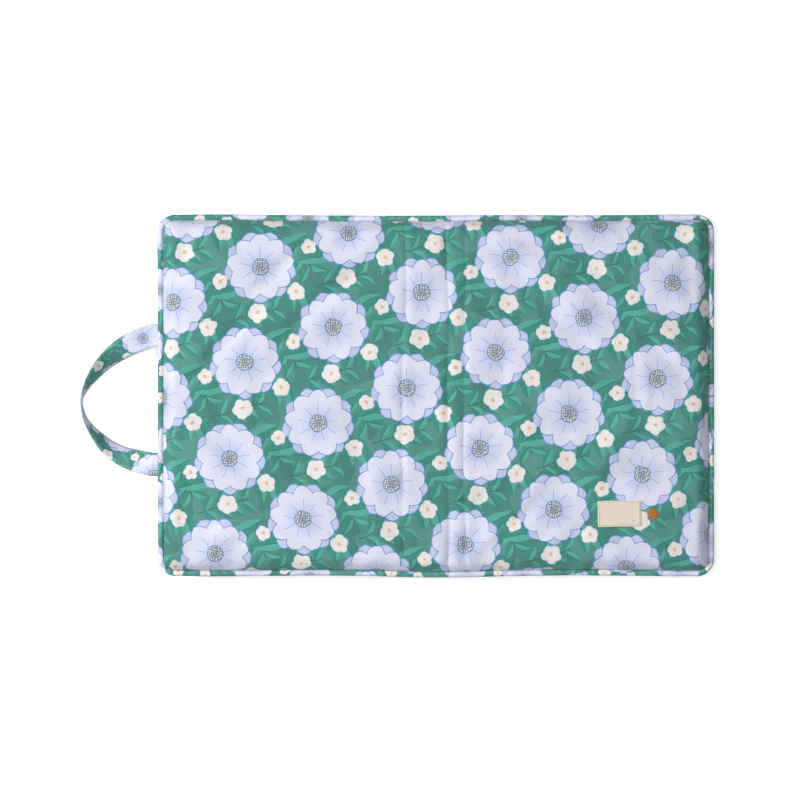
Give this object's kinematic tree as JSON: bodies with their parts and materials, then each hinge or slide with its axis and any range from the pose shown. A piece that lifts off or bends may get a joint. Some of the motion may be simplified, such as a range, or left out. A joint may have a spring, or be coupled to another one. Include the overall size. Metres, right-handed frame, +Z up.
{
  "type": "kneeling pad",
  "caption": "Padded garden kneeling mat in a piped floral fabric cover that folds in half, with a carry strap on one end and a zip in the other.",
  "frame": {"origin": "centre of the pad's body on the plane it rests on, on the fold line; the carry strap is not counted", "axes": "+X along the pad's length towards the zip end, away from the carry strap; +Y across the pad, away from the edge nearest the label; +Z up"},
  "size_m": [0.5138, 0.292, 0.0388],
  "materials": {
    "foam": "matte",
    "cover_fabric": "matte",
    "piping_fabric": "matte",
    "piping_cord": "matte",
    "thread": "satin",
    "zip_tape": "matte",
    "zip_nylon": "satin",
    "zip_metal": "satin",
    "label_cloth": "matte",
    "embroidery_thread": "satin"
  },
  "bodies": {
    "left_half": {"foam_core_left": "foam", "top_panel_left": "cover_fabric", "bottom_panel_left": "cover_fabric", "side_band_left": "cover_fabric", "top_piping_left": "piping_fabric", "bottom_piping_left": "piping_fabric", "top_piping_cord_left": "piping_cord", "bottom_piping_cord_left": "piping_cord", "handle_ends": "cover_fabric", "handle_stitching": "thread"},
    "right_half": {"foam_core_right": "foam", "top_panel_right": "cover_fabric", "bottom_panel_right": "cover_fabric", "side_band_right": "cover_fabric", "top_piping_right": "piping_fabric", "bottom_piping_right": "piping_fabric", "top_piping_cord_right": "piping_cord", "bottom_piping_cord_right": "piping_cord", "zip_band_upper": "cover_fabric", "zip_band_lower": "cover_fabric", "zip_tapes": "zip_tape", "zip_coil": "zip_nylon", "zip_stops": "zip_metal", "label": "label_cloth", "label_stitching": "thread", "embroidered_dot": "embroidery_thread"},
    "handle": {"handle_strap": "cover_fabric"},
    "zip_slider": {"zip_slider": "zip_metal"},
    "zip_pull": {"zip_pull": "zip_metal"}
  },
  "joints": [
    {"name": "fold", "type": "hinge", "parent": "left_half", "child": "right_half", "pos_m": [0, 0, 0.039], "axis": [0, -1, 0], "range_deg": [0, 178]},
    {"name": "handle_swing", "type": "hinge", "parent": "left_half", "child": "handle", "pos_m": [-0.229, 0, 0.0233], "axis": [0, 1, 0], "range_deg": [-60, 90]},
    {"name": "zip_slide", "type": "slide", "parent": "right_half", "child": "zip_slider", "axis": [0, -1, 0], "range_m": [0, 0.226]},
    {"name": "pull_flip", "type": "hinge", "parent": "zip_slider", "child": "zip_pull", "pos_m": [0.2232, 0.113, 0.0158], "axis": [0, 0, 1], "range_deg": [0, 175]}
  ]
}
